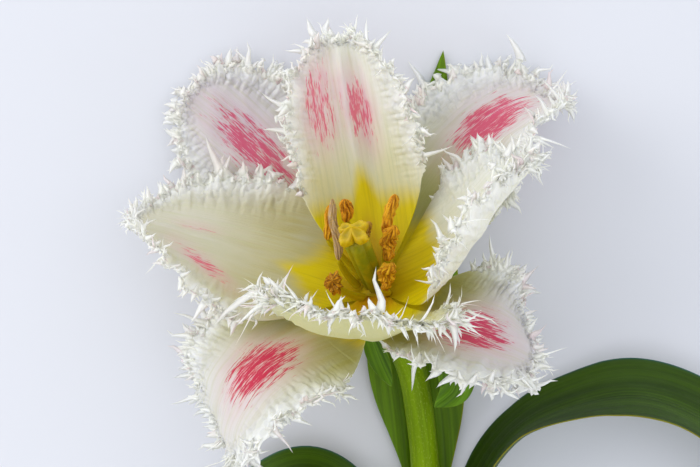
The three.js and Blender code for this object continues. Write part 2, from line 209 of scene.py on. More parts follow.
def thicken(points, quads, edge, thickness):
    # a front and a back, each half the thickness off the middle surface, joined round the edge
    n = len(points)
    normal = vertexNormals(points, quads) * thickness[:, None] / 2
    nextEdge = np.roll(edge, -1)
    rim = np.stack([nextEdge, edge, edge + n, nextEdge + n], -1)
    return np.vstack([points + normal, points - normal]), np.vstack([quads, quads[:, ::-1] + n, rim])


def closeBlade(points, quads, edge, spec, away, power):
    # thick along the middle, thinner towards the margin by a power of the share of the way out
    thickness = spec["rimThickness"] + (spec["thickness"] - spec["rimThickness"]) * (1 - away ** power)
    keep = quads.max() + 1
    body, bodyQuads = thicken(points.reshape(-1, 3)[:keep], quads, edge, thickness.reshape(-1)[:keep])
    return body, bodyQuads, keep


def onBlade(mid, lateral, normal, turn, halfWidth, y):
    # midrib point moved by y along the arc of the cross curve: sideways sin(ky)/k, up (1 - cos(ky))/k
    k = np.where(turn < 0, -1, 1) * np.maximum(np.abs(turn), 0.02) / halfWidth
    sideways = (np.sin(k * np.abs(y)) / k * np.sign(y))[..., None]
    return mid + lateral * sideways + normal * ((1 - np.cos(k * y)) / k)[..., None]


def evenOutline(length, halfWidthAt, rows):
    # the margin in even steps of its own length: along and across in mm, the run, and outward steps
    u = np.linspace(0, 1, 2001)
    outline = np.stack([u * length, halfWidthAt(u)], -1)
    run = np.concatenate([[0], np.cumsum(np.linalg.norm(np.diff(outline, axis=0), axis=1))])
    s = np.linspace(0, run[-1], rows + 1)
    line = np.stack([np.interp(s, run, outline[:, k]) for k in range(2)], -1)
    out = unit(np.gradient(line, axis=0))
    out = np.stack([-out[:, 1], out[:, 0]], -1)
    out[-1] = (1, 0)
    return line, s, out


def gridNormal(points):
    # cross product of the two grid directions; the closed last row takes the one before it
    normal = unit(np.cross(np.gradient(points, axis=0), np.gradient(points, axis=1)))
    normal[-1] = normal[-2]
    return normal


def srgb(code):
    # sRGB hex to linear RGBA
    c = np.array([int(code[i:i + 2], 16) / 255 for i in (1, 3, 5)])
    c = np.where(c <= 0.04045, c / 12.92, ((c + 0.055) / 1.055) ** 2.4)
    return (*c, 1.0)


def add(tree, kind, inputs=None, **settings):
    # adds a node with its settings, values and links; a link is an output socket
    node = tree.nodes.new(kind)
    for key, value in settings.items():
        setattr(node, key, value)
    for key, value in (inputs or {}).items():
        if isinstance(value, bpy.types.NodeSocket):
            tree.links.new(value, node.inputs[key])
        else:
            node.inputs[key].default_value = value
    return node


def newMaterial(name, finish):
    # finish holds the shader's own values
    material = bpy.data.materials.new(name)
    material.use_nodes = True
    tree = material.node_tree
    shader = tree.nodes["Principled BSDF"]
    for key, value in finish.items():
        shader.inputs[key].default_value = value
    return material, tree, shader


def veinNoise(tree, uv, alongMm, acrossMm, detail, offset):
    # noise pulled out along the veins, on the blade map of mm / 100
    place = add(tree, "ShaderNodeMapping", {0: uv, "Scale": (100 / alongMm, 100 / acrossMm, 1.0),
                                            "Location": (offset, offset * 0.7, offset)}).outputs[0]
    return add(tree, "ShaderNodeTexNoise", {"Vector": place, "Scale": 1.0, "Detail": detail,
                                            "Roughness": 0.6}).outputs[0]


def grainNoise(tree, sizeMm, detail):
    # noise whose lumps are about sizeMm across, on the piece's object coordinates in metres
    place = add(tree, "ShaderNodeTexCoord").outputs["Object"]
    return add(tree, "ShaderNodeTexNoise", {"Vector": place, "Scale": 1 / (sizeMm * mm),
                                            "Detail": detail}).outputs[0]


def readBlade(tree, keys, seed, grains):
    # the blade map, the piece's own attributes, and one vein noise for each grain:
    # mm along the veins, mm across them, detail, offset from the seed
    uv = add(tree, "ShaderNodeUVMap", uv_map="blade").outputs[0]
    read = {key: add(tree, "ShaderNodeAttribute", attribute_name=key).outputs["Fac"] for key in keys}
    for key, (along, across, detail, offset) in grains.items():
        read[key] = veinNoise(tree, uv, along, across, detail, seed + offset)
    return read


def layCoats(tree, colour, coats):
    # lays tints over a colour. A coat is a source, the span over which its mask rises softly from 0 to
    # a strength (None where the source is the mask already) and a tint
    for mask, span, coat in coats:
        if span:
            limits = {"Value": mask, "From Min": span[0], "From Max": span[1], "To Max": span[2]}
            mask = add(tree, "ShaderNodeMapRange", limits, interpolation_type="SMOOTHSTEP").outputs[0]
        tint = srgb(coat) if isinstance(coat, str) else coat
        colour = add(tree, "ShaderNodeMix", {0: mask, 6: colour, 7: tint}, data_type="RGBA").outputs[2]
    return colour


def weighted(tree, terms):
    # sum of sources, each times its own weight
    total = 0.0
    for source, weight in terms:
        step = add(tree, "ShaderNodeMath", {0: source, 1: weight, 2: total}, operation="MULTIPLY_ADD")
        total = step.outputs[0]
    return total


def finishSkin(tree, shader, colour, height, strength, depth):
    # the colour and a bump of the given depth in mm
    bump = add(tree, "ShaderNodeBump", {"Height": height, "Strength": strength, "Distance": depth * mm})
    tree.links.new(bump.outputs[0], shader.inputs["Normal"])
    tree.links.new(colour, shader.inputs["Base Color"])


petalFinish = {"Roughness": 0.52, "IOR": 1.4, "Specular IOR Level": 0.22, "Subsurface Weight": 0.7,
               "Subsurface Radius": (1.0, 0.95, 0.7), "Subsurface Scale": 2.8 * mm}


def petalMaterial(name, spec):
    # petal tissue: thin and satin, cells lit from within, fine veins a millimetre apart, pigment laid
    # down in dashes between the veins
    material, tree, shader = newMaterial(name, petalFinish)
    read = readBlade(tree, ("edge", "blush", "ink", "halo", "yellow", "low", "shade"), spec["seed"], {
        "veins": (34, 1.0, 3.0, 0), "broad": (22, 4.5, 2.0, 3), "dashes": (3.6, 0.4, 5.0, 7),
        "streaks": (16, 1.6, 2.0, 11), "clouds": (9.0, 3.0, 2.0, 9), "specks": (0.9, 0.7, 3.0, 13)})
    halo = add(tree, "ShaderNodeMath", {0: read["halo"], 1: read["clouds"]}, operation="MULTIPLY")
    # ink is drawn where dashes and streaks together pass a level that falls as the ink field rises
    drawn = weighted(tree, [(read["dashes"], 1.2), (read["streaks"], 0.7), (read["ink"], 0.4)])
    reach = weighted(tree, [(read["yellow"], 1.0), (read["broad"], 9.0)])
    line = (0.44, 0.64, 0.4)
    # cream low down, whiter above, veins a little greener, olive painted shade towards the base, fringe
    # whitest, then the blotch
    colour = layCoats(tree, srgb(spec["white"]), [
        (read["low"], None, spec["cream"]), (read["veins"], line, spec["vein"]),
        (read["broad"], (0.35, 0.7, 0.35), spec["white"]), (read["shade"], None, spec["paintedShadeTint"]),
        (read["edge"], None, spec["fringe"]), (halo.outputs[0], None, spec["halo"]),
        (drawn, (1.26, 1.44, spec["inkDepth"]), spec["ink"]),
        (weighted(tree, [(read["blush"], 0.55)]), None, spec["blush"])])
    # the yellow heart has a feathered border and is browner at the bottom
    yellow = layCoats(tree, srgb(spec["heart"]), [
        (read["yellow"], (8.0, 21.0, 1.0), spec["deepYellow"]), (read["veins"], line, spec["heartVein"])])
    colour = layCoats(tree, colour, [(reach, (0.5, 9.5, 1.0), yellow)])
    # painted light: the fringe emits a little of its own colour, standing in for light that thin torn
    # tissue passes through
    tree.links.new(weighted(tree, [(read["edge"], spec["paintedGlow"])]), shader.inputs["Emission Strength"])
    tree.links.new(colour, shader.inputs["Emission Color"])
    crinkle = add(tree, "ShaderNodeMath", {0: grainNoise(tree, 2.381, 3.0), 1: read["edge"]},
                  operation="MULTIPLY")
    height = weighted(tree, [(read["dashes"], 1.0), (read["veins"], 1.0), (read["specks"], 0.35),
                             (crinkle.outputs[0], 3.0)])
    finishSkin(tree, shader, colour, height, 0.5, 0.3)
    return material


# shade, with its olive tint, is painted shade laid towards each petal's base
petalShared = {
    "rows": 280, "columns": 20, "seatGap": 0.5, "tuckIn": 0.9, "thickness": 0.55, "rimThickness": 0.18,
    "fringeFrom": 0.3, "footShare": 0.93, "toothSpacing": 2.5, "seat": 0, "claw": 3.6, "ruffle": 2.2,
    # the fringe's emission strength is painted light
    "crest": 0.4, "flame": 0.5, "spike": 0.0, "crumple": 0.72, "band": 0.85, "paintedGlow": 0.13, "haze": 0.6,
    "shade": 0.12, "drape": 1.0, "tufts": 312, "tuftSize": 1.1, "inkDepth": 0.85, "ink": "#da2466",
    "vein": "#bfc09a", "paintedShadeTint": "#8d8c38", "white": "#e0dfd4", "cream": "#d6cf9e", "fringe": "#fafbf2",
    "halo": "#dd9ab4", "blush": "#c9879c", "heart": "#d8bf04", "heartVein": "#b19a05",
    "deepYellow": "#b89806"}
# painted shade: inner_petal_left, inner_petal_front, outer_petal_lower_left, outer_petal_lower_right and
# outer_petal_upper_right take a darker cream, all but the last a darker white, and the lower outer petals
# and outer_petal_upper_right a larger shade, for the petals that lie in shade
petals = {
    "inner_petal_top": {
        "azimuth": 91, "length": 68, "halfWidth": 20, "widest": 0.5, "blunt": 2.8,
        "open": [71, 57, 20, 56], "cupLeft": [28, 71, 40], "cupRight": [22, 37, 53], "roll": 0, "swing": -3,
        "ruffle": 2.1, "crest": 2.7, "haze": 1.0, "tufts": 240, "tuftSize": 1.0, "seed": 1, "yellow": 29,
        "flame": 0.15, "spike": 7.0, "inkDepth": 0.72,
        "blotches": [{"along": 51, "across": 8.0, "long": 16, "wide": 7.5, "strength": 1.1, "skew": -1.5},
                     {"along": 47.5, "across": -2.8, "long": 15, "wide": 5.8, "strength": 1.08,
                      "skew": 1.5}]},
    "inner_petal_left": {
        "seat": -1.4, "azimuth": 164, "length": 66.5, "halfWidth": 25.5, "widest": 0.52, "blunt": 2.5,
        "open": [70, 68, 61, 66], "cupLeft": [25, 10, 44], "cupRight": [22, 29, 4], "roll": 28, "swing": 5,
        "crest": 0.8, "tuftSize": 1.05, "seed": 2, "yellow": 24, "flame": 0.55, "spike": 4.0,
        "inkDepth": 0.75, "cream": "#b8ae7c", "white": "#ccc8b8",
        "blotches": [{"along": 44, "across": 9.5, "long": 13, "wide": 5.5, "strength": 1.08, "skew": -6.5},
                     {"along": 49, "across": -5, "long": 8, "wide": 3, "strength": 0.7}]},
    "inner_petal_front": {
        "azimuth": 268, "length": 68.5, "halfWidth": 26, "widest": 0.67, "blunt": 2.9,
        "open": [73, 50, 15, 22], "cupLeft": [12, 35, -9], "cupRight": [25, 62, 22], "roll": -33,
        "swing": 28.5, "ruffle": 2.4, "tufts": 540, "tuftSize": 1.2, "seed": 3, "yellow": 27, "flame": 0.3,
        # the orange deep yellow is painted light bounced inside the cup; the dark white and cream and the
        # faint white band are painted shade on the outer face
        "drape": -2.2, "band": 0.2, "deepYellow": "#c8900c", "white": "#c6c290", "cream": "#b2ac64",
        "blotches": []},
    "inner_petal_right": {
        "azimuth": 1, "length": 57, "halfWidth": 24.5, "widest": 0.53, "blunt": 2.6,
        "open": [76, 62, 10, 85], "cupLeft": [8, 12, -3], "cupRight": [8, 62, 85], "roll": -25, "swing": 28,
        "ruffle": 2.3, "tufts": 372, "tuftSize": 1.15, "seed": 4, "yellow": 24, "flame": 0.2,
        "drape": -2.4, "cream": "#dddcc0", "white": "#e3e3d6", "vein": "#c9cdab",
        "blotches": [{"along": 42, "across": 3, "long": 9, "wide": 1.6, "strength": 0.75}]},
    "outer_petal_upper_left": {
        "seat": -3.4, "claw": 4.4, "azimuth": 119, "length": 80, "halfWidth": 20, "widest": 0.58,
        "blunt": 2.6, "open": [85, 74, 49, 61], "cupLeft": [8, -4, 0], "cupRight": [10, 20, 21],
        "roll": -13, "swing": 27, "crest": 0.5, "tufts": 288, "seed": 5, "yellow": 24, "white": "#dcd6d5",
        "inkDepth": 0.8,
        "blotches": [{"along": 54, "across": 0.5, "long": 28, "wide": 10, "strength": 1.2}]},
    "outer_petal_lower_left": {
        "seat": -3.4, "claw": 4.4, "azimuth": 217, "length": 62.5, "halfWidth": 26.5, "widest": 0.57,
        "blunt": 2.7, "open": [83, 39, 77, 168], "cupLeft": [10, -8, 20], "cupRight": [10, 2, -9],
        "roll": 29, "swing": 19, "tufts": 336, "tuftSize": 1.15, "seed": 6, "yellow": 22, "shade": 0.6,
        "cream": "#b4ae78", "white": "#d4d2cc", "ink": "#c20c42", "inkDepth": 0.95,
        "blotches": [{"along": 38, "across": 2, "long": 19, "wide": 14, "strength": 1.3}]},
    "outer_petal_lower_right": {
        "seat": -3.4, "claw": 4.4, "azimuth": 316, "length": 51, "halfWidth": 22, "widest": 0.61,
        "blunt": 2.8, "open": [83, 41, 80, 144], "cupLeft": [5, 6, -12], "cupRight": [10, 37, -7],
        "roll": -24, "swing": 30, "seed": 7, "yellow": 19, "shade": 0.75, "cream": "#a8a36c",
        "white": "#ccc8c8", "ink": "#c8205a", "inkDepth": 0.92,
        "blotches": [{"along": 33, "across": -1.5, "long": 15, "wide": 12, "strength": 1.3}]},
    "outer_petal_upper_right": {
        "seat": -4.8, "claw": 4.4, "azimuth": 58, "length": 75.5, "halfWidth": 24.5, "widest": 0.58,
        "blunt": 2.4, "open": [84, 59, 58, 124], "cupLeft": [5, 20, 32], "cupRight": [10, 7, 49],
        "roll": -19, "swing": -40, "seed": 8, "yellow": 24, "shade": 0.75, "cream": "#aaab78",
        "white": "#dfdcd6", "ink": "#d42260",
        "blotches": [{"along": 55, "across": 2, "long": 21, "wide": 12, "strength": 1.35}]},
}


def readTrack(at, track, data):
    # straight lines between the rows of data, which stand at the places in track
    return np.stack([np.interp(at, track, data[:, k]) for k in range(3)], -1)


def petalHalfWidth(spec, u):
    # claw width, a quarter sine up to the widest place, then a blunt fall to the tip
    quarter = np.sin(np.pi / 2 * np.clip(u / spec["widest"], 0, 1))
    fall = np.clip((u - spec["widest"]) / (1 - spec["widest"]), 0, 1)
    rise = spec["claw"] + (spec["halfWidth"] - spec["claw"]) * quarter
    return rise * np.sqrt(np.clip(1 - fall ** spec["blunt"], 0, None))


def petalSurface(spec, x, y):
    # middle surface at x along and y across, in mm: the midrib is the running sum of its heading,
    # which opens from the flower axis by a cubic and swings sideways as u^1.5
    steps, reach = 400, 1.14
    drop = (spec["seat"] + receptacle["drop"]) / receptacle["halfHeight"]
    start = receptacle["radius"] * math.sqrt(max(0, 1 - drop * drop)) + petalShared["seatGap"]
    u = np.linspace(0, reach, steps + 1)
    opening = np.radians(bernstein(spec["open"], u))
    turnRound = np.radians(spec["azimuth"] + spec["swing"] * u ** 1.5)
    heading = np.stack([np.sin(opening) * np.cos(turnRound), np.sin(opening) * np.sin(turnRound),
                        np.cos(opening)], -1)
    run = (heading[1:] + heading[:-1]) / 2 * (spec["length"] * reach / steps)
    azimuth = math.radians(spec["azimuth"])
    foot = np.array([start * math.cos(azimuth), start * math.sin(azimuth), spec["seat"]])
    mids = foot + np.vstack([[0, 0, 0], np.cumsum(run, 0)])
    flat = np.stack([-np.sin(turnRound), np.cos(turnRound), 0 * turnRound], -1)
    inward = unit(np.cross(heading, flat))
    roll = np.radians(spec["roll"] * u ** 1.5)[:, None]
    lateral = flat * np.cos(roll) + inward * np.sin(roll)
    normal = inward * np.cos(roll) - flat * np.sin(roll)
    at = np.clip(x / spec["length"], 0, reach)
    turn = np.radians(np.where(y < 0, station(spec["cupRight"], at), station(spec["cupLeft"], at)))
    half = np.maximum(petalHalfWidth(spec, at), 0.4 * spec["halfWidth"])
    mid = readTrack(at, u, mids) + heading[0] * np.minimum(x, 0)[..., None]
    face = unit(readTrack(at, u, normal))
    return toRow(onBlade(mid, readTrack(at, u, lateral), face, turn, half, y))


def teethAlong(s, seed, spacing):
    # pointed pulses along the margin: each rises straight to its point and falls away faster
    r = np.random.default_rng(seed)
    total = np.zeros_like(s)
    places = np.cumsum(r.uniform(0.5, 1.5, int(s.max() / spacing * 1.2)) * spacing)
    for place in places[places < s.max()]:
        width, height, slant = r.uniform(1.3, 3.6), r.uniform(0.45, 1.0) ** 1.4 * 4.6, r.uniform(0.25, 0.75)
        left, right = place - width * slant, place + width * (1 - slant)
        pulse = np.minimum((s - left) / (place - left), (right - s) / (right - place))
        total = np.maximum(total, height * np.clip(pulse, 0, 1))
    return total


def tuftMesh(base, heading, bend, face, length, wide, thin, wave):
    # curling flaps, all at once: the line is base + heading t + bend t^2 with a side wave, the
    # section a flat diamond that narrows to a point
    rings, around = 6, 4
    count = len(base)
    t = np.linspace(0, 1, rings)[None, :, None]
    line = (heading[:, None] * t + bend[:, None] * t * t) * length[:, None, None] + base[:, None]
    tangent = unit(heading[:, None] + 2 * bend[:, None] * t)
    a = unit(np.cross(tangent, face[:, None]))
    b = np.cross(tangent, a)
    line = line + a * (np.sin(2 * np.pi * t * 0.9) * t * (wave * length)[:, None, None])
    angle = (np.arange(around) / around * 2 * np.pi)[None, None, :, None]
    taper = ((1 - t) ** 0.8 * (1.0 + 0.3 * t) + 0.02)[..., None]
    spread = a[:, :, None] * np.cos(angle) * wide[:, None, None, None]
    spread = spread + b[:, :, None] * np.sin(angle) * thin[:, None, None, None]
    ringPoints = line[:, :, None] + taper * spread
    per = rings * around
    i, j = np.meshgrid(np.arange(rings - 1), np.arange(around), indexing="ij")
    p, q = i * around + j, i * around + (j + 1) % around
    step = np.arange(count)[:, None, None] * (per + 2)
    quads = (np.stack([p, q, q + around, p + around], -1).reshape(-1, 4)[None] + step).reshape(-1, 4)
    ends = np.stack([line[:, 0], line[:, -1] + tangent[:, -1] * wide[:, None] * 0.3], 1)
    points = np.concatenate([ringPoints.reshape(count, per, 3), ends], 1)
    k = np.arange(around)
    foot = np.stack([np.full(around, per), (k + 1) % around, k], -1)
    last = (rings - 1) * around
    head = np.stack([np.full(around, per + 1), last + k, last + (k + 1) % around], -1)
    tris = (np.vstack([foot, head])[None] + step).reshape(-1, 3)
    return points.reshape(-1, 3), quads, tris, per + 2


def makePetal(name, own):
    # a grid from margin to margin in even steps of the outline, teeth let into the margin, laid on the
    # middle surface, then lifted along its normal by ruffles, folds and a midrib
    spec = {**petalShared, **own}
    rows, half, length = spec["rows"], spec["columns"], spec["length"]
    line, s, out = evenOutline(length, lambda u: petalHalfWidth(spec, u), rows)
    rise = smooth(spec["fringeFrom"], spec["fringeFrom"] + 0.28, line[:, 0] / length)
    columns = 1 - (1 - np.linspace(0, 1, half + 1)) ** 1.35
    quads, edge = bladeGrid(rows, columns)
    width = 2 * half + 1
    share = np.concatenate([-columns[:0:-1], columns])
    x, y, where = (np.zeros((rows + 1, width)) for _ in range(3))
    for sign, cut in ((-1, slice(0, half + 1)), (1, slice(half, width))):
        teeth = teethAlong(s, spec["seed"] * 10 + sign, spec["toothSpacing"])
        tooth = out * (teeth * rise * smooth(0, 2, s[-1] - s))[:, None]
        t = np.abs(share[cut])[None]
        foot = line[:, :1] * spec["footShare"]
        x[:, cut] = foot + (line[:, :1] - foot) * t + tooth[:, :1] * t ** 6
        y[:, cut] = (line[:, 1:] * t + tooth[:, 1:] * t ** 6) * sign
        where[:, cut] = s[:, None] * sign
    x -= spec["tuckIn"] * (1 - smooth(0, 0.05, x / length))
    edgeShare = np.abs(share)[None] * np.ones((rows + 1, 1))
    points = petalSurface(spec, x, y)
    normal = gridNormal(points)
    u = x / length
    # ruffled margin, crumpled rim, lengthwise folds, and a raised midrib between two grooves
    lift = spec["ruffle"] * rise[:, None] * edgeShare ** 4 * waves(where, [16.0, 11.0, 8.0], spec["seed"])
    lift += 1.3 * rise[:, None] * edgeShare ** 6 * waves(where, [7.3, 4.1, 2.7], spec["seed"] + 50)
    inward = (1 - edgeShare) * spec["halfWidth"]
    folds = np.sin(1.5 * where + 2.2 * np.sin(inward + where / 3))
    folds *= np.cos(1.3 * inward + 1.6 * np.sin(0.7 * where))
    folds += 0.5 * np.sin(2.7 * where + 2 * np.sin(1.7 * inward)) * np.cos(2.1 * inward + 0.9 * where)
    lift += spec["crumple"] * rise[:, None] * smooth(0.46, 0.8, edgeShare) * folds
    lift += 0.4 * np.sin(y / 2.7 + spec["seed"]) * smooth(0.15, 0.5, u) * (1 - edgeShare ** 3)
    lift += 0.35 * waves(x + 0.6 * y, [17.0, 11.0], spec["seed"] + 70) * smooth(0.3, 0.7, u)
    crest = np.exp(-(y / 1.7) ** 2) - 0.45 * np.exp(-((np.abs(y) - 4.0) / 2.0) ** 2)
    lift += spec["crest"] * crest * smooth(0.25, 0.6, u) * (1 - 0.6 * smooth(0.85, 1, u))
    points = points + normal * lift[..., None]

    # colour fields: blotch ink and its halo, the yellow heart, cream low down, painted shade towards the
    # base, whiter margin
    ink, halo = np.zeros_like(x), np.zeros_like(x)
    for b in spec["blotches"]:
        dx = (x - b["along"]) / b["long"]
        far = np.hypot(dx, (y - b["across"] - b.get("skew", 0) * dx) / b["wide"])
        ink = np.maximum(ink, b["strength"] * smooth(1.2, 0.15, far))
        halo = np.maximum(halo, b["strength"] * smooth(1.35, 0.2, far))
    yellow = spec["yellow"] - x - spec["flame"] * np.abs(y) + spec["spike"] * np.exp(-(y / 2.4) ** 2) - 4.5
    lowDown = smooth(0.8, 0.3, u)
    # painted shade: the shade field darkens the petal to an olive tint towards its base
    shade = spec["shade"] * smooth(0.62, 0.2, u)
    rim = spec["band"] * rise[:, None] * smooth(0.66, 1.0, edgeShare)
    fields = {"ink": ink, "halo": halo * spec["haze"], "yellow": yellow, "low": lowDown, "shade": shade,
              "edge": rim, "blush": np.zeros_like(x)}
    body, bodyQuads, keep = closeBlade(points, quads, edge, spec, edgeShare, 5)

    # fringe: crumpled flaps and needles off the margin and the band just inside it
    r = np.random.default_rng(spec["seed"] + 100)
    count = spec["tufts"]
    chance = np.concatenate([rise[1:], rise[1:]])
    pick = r.choice(2 * rows, count, p=chance / chance.sum())
    onLeft = pick >= rows
    row = np.minimum(pick % rows + 1, rows - 1)
    inset = r.choice([0, 0, 0, 0, 1, 2, 3], count)
    column = np.where(onLeft, 2 * half - inset, inset)
    base = points[row, column]
    outward = unit(points[row, column] - points[row, np.where(onLeft, column - 4, column + 4)])
    face = normal[row, column]
    alongEdge = np.cross(outward, face)
    needle = r.random(count) < 0.06
    up = np.where(inset > 0, 0.5, 0.15)[:, None] * spec["drape"] + r.normal(0, 0.34, (count, 1))
    heading = outward * r.uniform(0.55, 1.2, (count, 1)) + face * up
    heading = unit(heading + alongEdge * r.normal(0, 0.5, (count, 1)))
    bend = r.normal(0, 0.3, (count, 3)) + face * r.normal(0.1, 0.6, (count, 1))
    size = np.clip(r.lognormal(0.9, 0.42, count), 1.2, 5.4) * spec["tuftSize"] * (1 - 0.1 * inset)
    size = np.where(needle, r.uniform(2.8, 5.2, count) * spec["tuftSize"], size) * (0.55 + 0.45 * rise[row])
    wide = np.where(needle, r.uniform(0.4, 0.6, count), r.uniform(0.7, 1.6, count))
    thin = np.where(needle, wide * 0.6, r.uniform(0.1, 0.18, count))
    tufts, tuftQuads, tuftTris, per = tuftMesh(base - outward * 0.5, heading, bend, face, size, wide, thin,
                                               r.normal(0, 0.16, count))
    blush = np.where(r.random(count) < 0.14, r.uniform(0.2, 0.9, count), 0)
    onTufts = {"edge": np.full(count, 0.85), "blush": blush, "ink": np.zeros(count),
               "halo": fields["halo"][row, column] * 0.4}
    values = {}
    for key, grid in fields.items():
        flat = grid.reshape(-1)[:keep]
        atBase = onTufts.get(key, grid[row, column])
        values[key] = np.concatenate([flat, flat, np.repeat(atBase, per)])
    flatUv = np.stack([x, y], -1).reshape(-1, 2)[:keep] / 100
    tuftUv = np.repeat(np.stack([x[row, column], y[row, column]], -1) / 100, per, 0)
    points = np.vstack([body, tufts])
    quads = np.vstack([bodyQuads, tuftQuads + len(body)])
    makePiece(name + "_blade", points, quads, tuftTris + len(body), name,
              petalMaterial("petal tissue " + name, spec), np.vstack([flatUv, flatUv, tuftUv]), values)


for name, own in petals.items():
    makePetal(name, own)
print("petals made")

leafShared = {"rows": 170, "columns": 14, "thickness": 0.7, "rimThickness": 0.28, "claspRadius": 5.2,
              "baseShare": 0.85, "claspTurn": 100, "waver": 0.5, "midGroove": 0.45, "dark": "#263e02",
              "light": "#3e5c06", "bloom": "#5c7442", "sheath": "#8fa83c", "rimLeft": "#7a8a1c",
              "rimRight": "#7a8a1c", "rimDepth": 0.5}
stemShape = {"radius": 4.4, "topRadius": 4.2, "sides": 72, "rows": 330, "axisHeight": 6.4,
             "neckStart": 9.0, "sheathEnd": -150.0, "endY": -285.0, "gap": 0.35, "cutDish": 0.5,
             "dark": "#708f06", "light": "#8aac0c"}
clasp, lie = leafShared["claspRadius"], stemShape["axisHeight"]
neck = pose["heartHeight"] - 14
leaves = {
    "back_leaf": {
        "path": [[15.5, -72, 0.9], [15.8, -60, 0.8], [14.8, -42, 0.7], [12.5, -22, 1.2], [11.5, 5, 1.4],
                 [13.5, 32, 1], [19, 58, 0.7], [20.5, 69, 0.6]],
        "halfWidth": 14.5, "widest": 0.36, "taper": 1.05, "claspTurn": 50, "seed": 21,
        "roll": [0, 0], "cup": [50, 20, 8, 7, 6, 6, 5, 4, 4], "dark": "#4e6e04", "light": "#729a08",
        "rimLeft": "#5f7d10", "rimRight": "#b3a81e"},
    "right_leaf": {
        "path": [[15 + clasp, -118, lie], [15.1 + clasp, -106, lie], [18.2 + clasp, -88, lie + 1.6],
                 [23.4 + clasp, -70, lie + 4.4], [26.8 + clasp, -55, lie + 6.1], [41.5, -42, 14.5],
                 [56, -34.5, 16], [76, -31, 17], [97, -39, 15.5], [116, -58, 11], [129, -84, 5.2],
                 [134, -104, 2]],
        "halfWidth": 13.5, "widest": 0.5, "taper": 1.3, "seed": 22,
        "roll": [-90, -84, -80, -77, -58, -50, -46, -36, -20],
        # the bluish #3c7c8a rim is a painted reflection along the margin
        "cup": [96, 54, 34, 28, 25, 22, 18, 12, 8], "rimLeft": "#3c7c8a", "rimRight": "#b0a020"},
    "left_leaf": {
        "path": [[13.7 - clasp, -146, lie], [14.2 - clasp, -134, lie], [11.2 - clasp, -116, lie + 2],
                 [5.7 - clasp, -96, lie + 4.6], [0.2 - clasp, -77, lie + 6.6], [-11, -63, 14.6],
                 [-20, -58, 15.5], [-32, -64, 15], [-45, -84, 10.5], [-54, -108, 5], [-58, -127, 2]],
        "halfWidth": 14, "widest": 0.5, "taper": 1.3, "seed": 23,
        "roll": [90, 76, 62, 52, 48, 46, 44, 36, 20],
        # the bluish #3c7c8a rim is a painted reflection along the margin
        "cup": [96, 54, 36, 28, 25, 22, 18, 12, 8], "rimLeft": "#7a8a1c", "rimRight": "#3c7c8a"},
    "neck_leaf_left": {
        "path": [[-2.5, -10, neck - 0.5], [-0.5, -16, neck - 0.6], [2.2, -23, neck - 1],
                 [5, -29, neck - 0.6]],
        "halfWidth": 3.4, "widest": 0.45, "taper": 1.2, "claspTurn": 20, "seed": 24, "rows": 80,
        "waver": 0.15, "roll": [55, 40, 20, 10, 0], "cup": [20, 25, 25, 20, 10], "dark": "#3d5f08",
        "light": "#6d9a1a", "thickness": 0.5, "midGroove": 0.3},
    "neck_leaf_right": {
        "path": [[14.2, -14, neck], [17.5, -17.5, neck + 0.6], [22.5, -23, neck + 1], [23, -29.5, neck + 1],
                 [17.2, -35, neck + 0.4]],
        "halfWidth": 6, "widest": 0.5, "taper": 1.1, "claspTurn": 20, "seed": 25, "rows": 80,
        "waver": 0.2, "roll": [-60, -40, -20, -10, -5], "cup": [20, 30, 30, 20, 10], "dark": "#3a5a06",
        "light": "#6c9c12", "rimRight": "#93b52c", "thickness": 0.5, "midGroove": 0.3},
}


def leafMaterial(name, spec):
    # leaf blade: waxy cuticle over parallel veins 0.8 mm apart, a soft bloom, thin pale rims, and a bluish
    # painted reflection along one margin of the right and left leaves
    material, tree, shader = newMaterial(name, {
        "Roughness": 0.45, "IOR": 1.42, "Specular IOR Level": 0.24, "Subsurface Weight": 0.1,
        "Subsurface Radius": (0.5, 1.0, 0.15), "Subsurface Scale": 1.2 * mm})
    read = readBlade(tree, ("left", "right", "low"), spec["seed"], {
        "veins": (120, 0.8, 3.0, 0), "bands": (60, 4.0, 2.0, 3), "bloom": (9.0, 6.0, 4.0, 5),
        "grain": (0.8, 0.3, 2.0, 8)})
    stripes = weighted(tree, [(read["veins"], 0.55), (read["bands"], 0.6)])
    colour = layCoats(tree, srgb(spec["dark"]), [
        (stripes, (0.4, 0.78, 1.0), spec["light"]), (read["bloom"], (0.45, 0.8, 0.1), spec["bloom"]),
        (weighted(tree, [(read["low"], 0.6)]), None, spec["sheath"]),
        (read["left"], None, spec["rimLeft"]), (read["right"], None, spec["rimRight"])])
    height = weighted(tree, [(read["veins"], 1.0), (read["grain"], 0.25)])
    finishSkin(tree, shader, colour, height, 0.45, 0.4)
    return material


